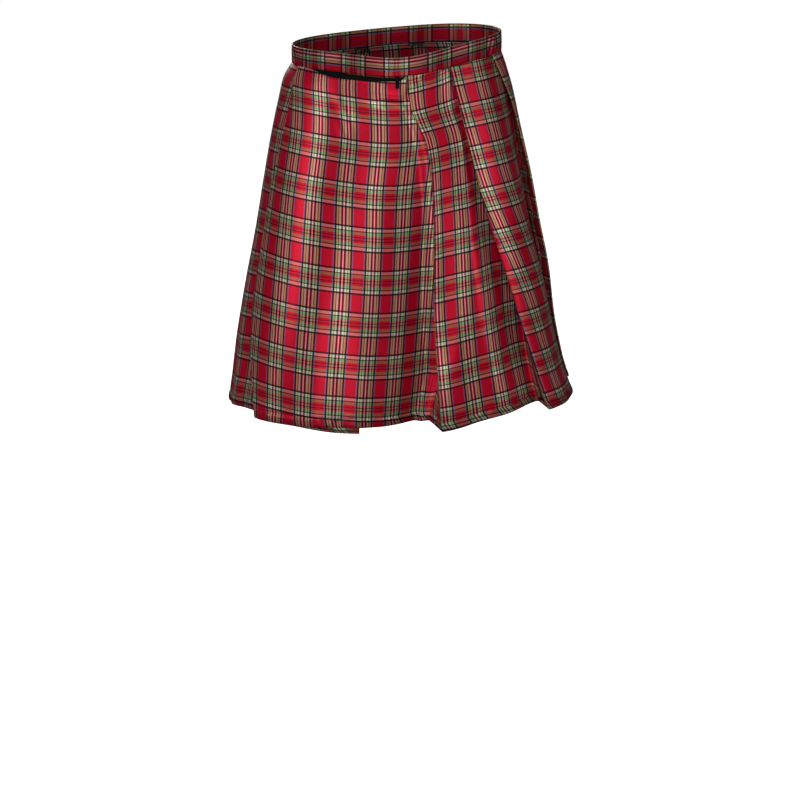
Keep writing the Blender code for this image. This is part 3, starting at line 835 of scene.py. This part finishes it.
BAND_TALLER = 2.5 * MM      # how much taller the band is at the right side
BAND_INNER = 1.3 * MM       # its inner and outer face, out from the waist's outline
BAND_OUTER = 4.0 * MM
BAND_LIP = 1.0 * MM         # how far its outer layer laps over the seam
BAND_INNER_LIP = 3.0 * MM   # and its inner layer
BAND_TURN_IN = 1.2 * MM     # how far its lower edge turns in under that lap
BAND_INNER_ROWS, BAND_OUTER_ROWS = 5, 14
FRONT_BAND_FROM, FRONT_BAND_TO = -67, 64    # degrees
FRONT_COLUMNS, BACK_COLUMNS = 160, 560
FRONT_SWELL = 0.35 * MM     # how much the smooth front is rounded
GATHERS = 46
GATHER_DEPTH = 1.1 * MM
GATHER_SLANT = 0.9          # how far a gather leans from top to bottom, in gathers
GATHER_AT_EDGES = 0.6       # how deep it still is at the band's edges
GATHER_SET_IN = 0.4 * MM    # how far the elastic pulls the strip in
BAND_TOP_LINE = 3.7 * MM    # from the band's top edge to the middle of its pale line


def band_top(degrees):
    """Height of the band's top edge."""
    taller = BAND_TALLER * np.maximum(np.sin(np.radians(degrees)), 0.0)**2
    return seam_height(degrees) + BAND_HEIGHT + taller


def lay_band(name, begin, end, columns, pucker):
    """A strip folded over at the top: up the inside, over, and down the outside."""
    ring = Ring(0.0)
    place = np.linspace(begin, end, columns)
    degrees = ring.angle(place)
    bottom, top = seam_height(degrees), band_top(degrees)
    middle, half = (BAND_INNER + BAND_OUTER) / 2, (BAND_OUTER - BAND_INNER) / 2
    spots, cloth = [], []
    height = top - bottom
    inner, outer = height - half + BAND_INNER_LIP, height - half + BAND_LIP

    def lay_row(out, level, cloth_down):
        spots.append(np.column_stack((ring.point(place, out), level)))
        cloth.append(np.column_stack((cloth_down - BAND_TOP_LINE, place)))

    for part in np.linspace(0.0, 1.0, BAND_INNER_ROWS):
        rise = inner * part
        lay_row(BAND_INNER + 0 * place, bottom - BAND_INNER_LIP + rise,
                rise - inner - math.pi * half)
    for part in (0.25, 0.5, 0.75):
        turn = math.pi * part
        lay_row(middle - half * math.cos(turn) + 0 * place,
                top - half + half * math.sin(turn), -half * (math.pi - turn) + 0 * place)
    for part in np.linspace(0.0, 1.0, BAND_OUTER_ROWS):
        down = outer * part
        lay_row(BAND_OUTER + pucker(place, part), top - half - down, down + 0 * place)
    lay_row(BAND_OUTER - BAND_TURN_IN + 0 * place, bottom - BAND_LIP,
            height + BAND_LIP + 0 * place)
    return lay_grid(name, np.array(spots), np.array(cloth),
                    np.ones((len(spots), columns)))


def smooth_front(place, part):
    """How far the smooth front stands out at a share of the way down the band."""
    return FRONT_SWELL * math.sin(math.pi * part) + 0 * place


waist = Ring(0.0)
front_ends = (waist.place(FRONT_BAND_FROM), waist.place(FRONT_BAND_TO))
back_ends = (waist.place(FRONT_BAND_TO), waist.place(FRONT_BAND_FROM + 360))


def gathered(place, part):
    """How far the gathered back stands out there."""
    count = (place - back_ends[0]) / (back_ends[1] - back_ends[0]) * GATHERS
    fade = smooth(count) * smooth(GATHERS - count)
    wave = np.sin(2 * math.pi * (count + GATHER_SLANT * part))
    depth = GATHER_AT_EDGES + (1 - GATHER_AT_EDGES) * math.sin(math.pi * part)
    return -GATHER_SET_IN + wave * GATHER_DEPTH * fade * depth


for name, ends, columns, pucker in (
        ("waistband_front", front_ends, FRONT_COLUMNS, smooth_front),
        ("waistband_back", back_ends, BACK_COLUMNS, gathered)):
    piece = lay_band(name + "_cloth", *ends, columns, pucker)
    finish_cloth(piece, name)


# ================================================================================
# The under apron. The wrap's inner end, a straight piece that hangs behind the front
# apron from inside the band, and shows a little below the hem.
# ================================================================================

UNDER_FREE_EDGE = (-22, -18)        # degrees, at waist and hem: its cut end
UNDER_FAR_EDGE = (-84, -76)         # and where the built part of it stops
UNDER_SET_BACK = (-3.4 * MM, -13 * MM)      # out from the skirt's outline there
UNDER_EXTRA = 15 * MM       # how much lower than the skirt's outline it hangs at the hem
UNDER_RISE = 11 * MM        # how far it reaches up inside the band
UNDER_BEHIND = 1.0 * MM     # how far behind the band's inner face it lies there
UNDER_COLUMNS, UNDER_ROWS = 60, 110
UNDER_FIRST_ROW = 0.02      # share of the length where its even rows begin
UNDER_WAVE = 5 * MM
UNDER_HALF_WAVES = 3
UNDER_SHEAR = 0.9           # how the inner end hangs off the straight grain


def lay_under_apron():
    """The inner end: its top rows stand inside the band, and the rest hangs free."""
    spots, cloth = [], []
    levels = [(0.0, UNDER_RISE, 1.0), (0.0, UNDER_RISE / 2, 1.0), (0.0, UNDER_RISE / 10, 0.0)]
    levels += [(share, 0.0, 0.0) for share in np.linspace(UNDER_FIRST_ROW, 1.0, UNDER_ROWS)]
    behind_band = BAND_INNER - UNDER_BEHIND
    for share, rise, in_band in levels:
        ring = Ring(share)
        free = ring.place(UNDER_FREE_EDGE[0] * (1 - share) + UNDER_FREE_EDGE[1] * share)
        far = ring.place(UNDER_FAR_EDGE[0] * (1 - share) + UNDER_FAR_EDGE[1] * share)
        place = np.linspace(far, free, UNDER_COLUMNS)
        degrees = ring.angle(place)
        set_back = UNDER_SET_BACK[0] * (1 - share) + UNDER_SET_BACK[1] * share
        turns = UNDER_HALF_WAVES * math.pi * (place - far) / (free - far)
        wave = UNDER_WAVE * share * np.sin(turns)
        out = behind_band * in_band + (set_back + wave) * (1 - in_band)
        height = cloth_height(share, degrees, 0 * place, 0.0) + rise - UNDER_EXTRA * share
        spots.append(np.column_stack((ring.point(place, out), height)))
        down = share * SKIRT_LENGTH - rise
        cloth.append(np.column_stack((place - free - UNDER_SHEAR * down, 0 * place + down)))
    return lay_grid("under_apron_cloth", np.array(spots), np.array(cloth),
                    np.zeros((len(spots), UNDER_COLUMNS)))


piece = lay_under_apron()
finish_cloth(piece, "under_apron")


# ================================================================================
# The closing tape. Black hook-and-loop tape behind the slit at the apron's top, and
# its small end, which laps over the apron's edge.
# ================================================================================

LOOPS_PER_METRE = 1400.0
TAPE_BLACK = 0.002
LOOP_TIPS = (0.010, 0.009, 0.010)   # how much lighter the loops' tips are, as a colour
LOOP_HEIGHT = 0.4 * MM
LOOP_STRENGTH = 0.8
TAPE_ROUGHNESS, TIP_ROUGHNESS = 0.8, 0.2
TAPE_SPECULAR = 0.1


def looped_tape(name):
    """Dull black nylon with a fine pile of loops."""
    material = bpy.data.materials.new(name)
    material.use_nodes = True
    material.node_tree.nodes.clear()
    start = Strand(material.node_tree)
    spot = start.add("TexCoord", output=3)
    loops = start.add("TexNoise", {}, {"Vector": spot, "Scale": LOOPS_PER_METRE, "Detail": 4.0})
    shades = {index: TAPE_BLACK + tip * loops for index, tip in enumerate(LOOP_TIPS)}
    pile = start.add("Bump", {}, {"Strength": LOOP_STRENGTH, "Distance": LOOP_HEIGHT,
                                  "Height": loops})
    shader = start.add("BsdfPrincipled", {}, {
        "Base Color": start.add("CombineColor", {}, shades),
        "Roughness": TAPE_ROUGHNESS + TIP_ROUGHNESS * loops,
        "Specular IOR Level": TAPE_SPECULAR, "Normal": pile})
    start.add("OutputMaterial", {}, {0: shader})
    return material


black_tape = looped_tape("hook_and_loop_tape")

for name in ("closure_tape", "closure_tab"):
    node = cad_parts[name]
    node.data.materials.clear()
    node.data.materials.append(black_tape)


# ================================================================================
# The room: a pale floor under the hanging kilt, soft studio lights and the camera.
# ================================================================================

FLOOR_BELOW = 1.05          # the floor under the waist, at standing height
FLOOR_HALF_WIDTH = 30
FLOOR_GREY = 0.9
FLOOR_ROUGHNESS = 0.9
FLOOR_GLOW = 0.95
ground = bmesh.new()
bmesh.ops.create_grid(ground, x_segments=1, y_segments=1, size=FLOOR_HALF_WIDTH)
bmesh.ops.translate(ground, vec=(0, 0, -FLOOR_BELOW), verts=ground.verts)
floor_mesh = bpy.data.meshes.new("floor")
ground.to_mesh(floor_mesh)
ground.free()
floor = bpy.data.objects.new("floor", floor_mesh)
bpy.context.scene.collection.objects.link(floor)
pale = bpy.data.materials.new("pale_floor")
pale.use_nodes = True
pale_shader = pale.node_tree.nodes["Principled BSDF"]
pale_shader.inputs["Base Color"].default_value = (FLOOR_GREY, FLOOR_GREY, FLOOR_GREY, 1)
pale_shader.inputs["Roughness"].default_value = FLOOR_ROUGHNESS
pale_shader.inputs["Emission Color"].default_value = (1, 1, 1, 1)
pale_shader.inputs["Emission Strength"].default_value = FLOOR_GLOW
floor_mesh.materials.append(pale)
floor.visible_diffuse = False       # it is seen, and throws no light up into the cloth
floor.visible_glossy = False

# each lamp's name, place, width and power in watts
LIGHTS = (
    ("high_front", (-0.3, -3.2, 2.2), 1.2, 60),
    ("low_front", (0.0, -4.0, -0.5), 1.2, 30),
    ("left_side", (-3.4, -2.0, 0.5), 1.2, 38),
    ("right_side", (3.4, -2.0, 0.5), 1.2, 28),
    ("back_soft", (-1.6, 3.6, 1.3), 1.6, 45),
)
LIT_AT = Vector((0, 0, -0.28))      # the skirt's middle, which every lamp faces
for name, place, size, power in LIGHTS:
    lamp = bpy.data.lights.new(name, "AREA")
    lamp.size = size
    lamp.energy = power
    light = bpy.data.objects.new(name, lamp)
    light.location = place
    light.rotation_euler = (LIT_AT - Vector(place)).to_track_quat("-Z", "Y").to_euler()
    bpy.context.scene.collection.objects.link(light)

ROOM_LIGHT = 0.05           # faint light from all round
VIEW_GAMMA = 0.9            # of the finished picture: below 1 darkens its middle tones
room = bpy.data.worlds.new("room")
room.use_nodes = True
sky = room.node_tree.nodes["Background"]
sky.inputs["Color"].default_value = (1, 1, 1, 1)
sky.inputs["Strength"].default_value = ROOM_LIGHT
bpy.context.scene.world = room
view = bpy.context.scene.view_settings
view.view_transform = "Standard"
view.gamma = VIEW_GAMMA
view.exposure = 0.0

FRAME_PIXELS = 800
PIXEL = 1.55 * MM           # size of one pixel at the waist
CAMERA_PLACE = Vector((0.0053, -5.0, 0.75))
CAMERA_AIM = Vector((0.0053, 0.0, -0.567))
view_way = (CAMERA_AIM - CAMERA_PLACE).normalized()
waist_depth = -CAMERA_PLACE.dot(view_way)
camera = bpy.data.cameras.new("camera")
camera.lens = camera.sensor_width * waist_depth / (FRAME_PIXELS * PIXEL)
eye = bpy.data.objects.new("camera", camera)
eye.location = CAMERA_PLACE
eye.rotation_euler = view_way.to_track_quat("-Z", "Y").to_euler()
bpy.context.scene.collection.objects.link(eye)
bpy.context.scene.camera = eye
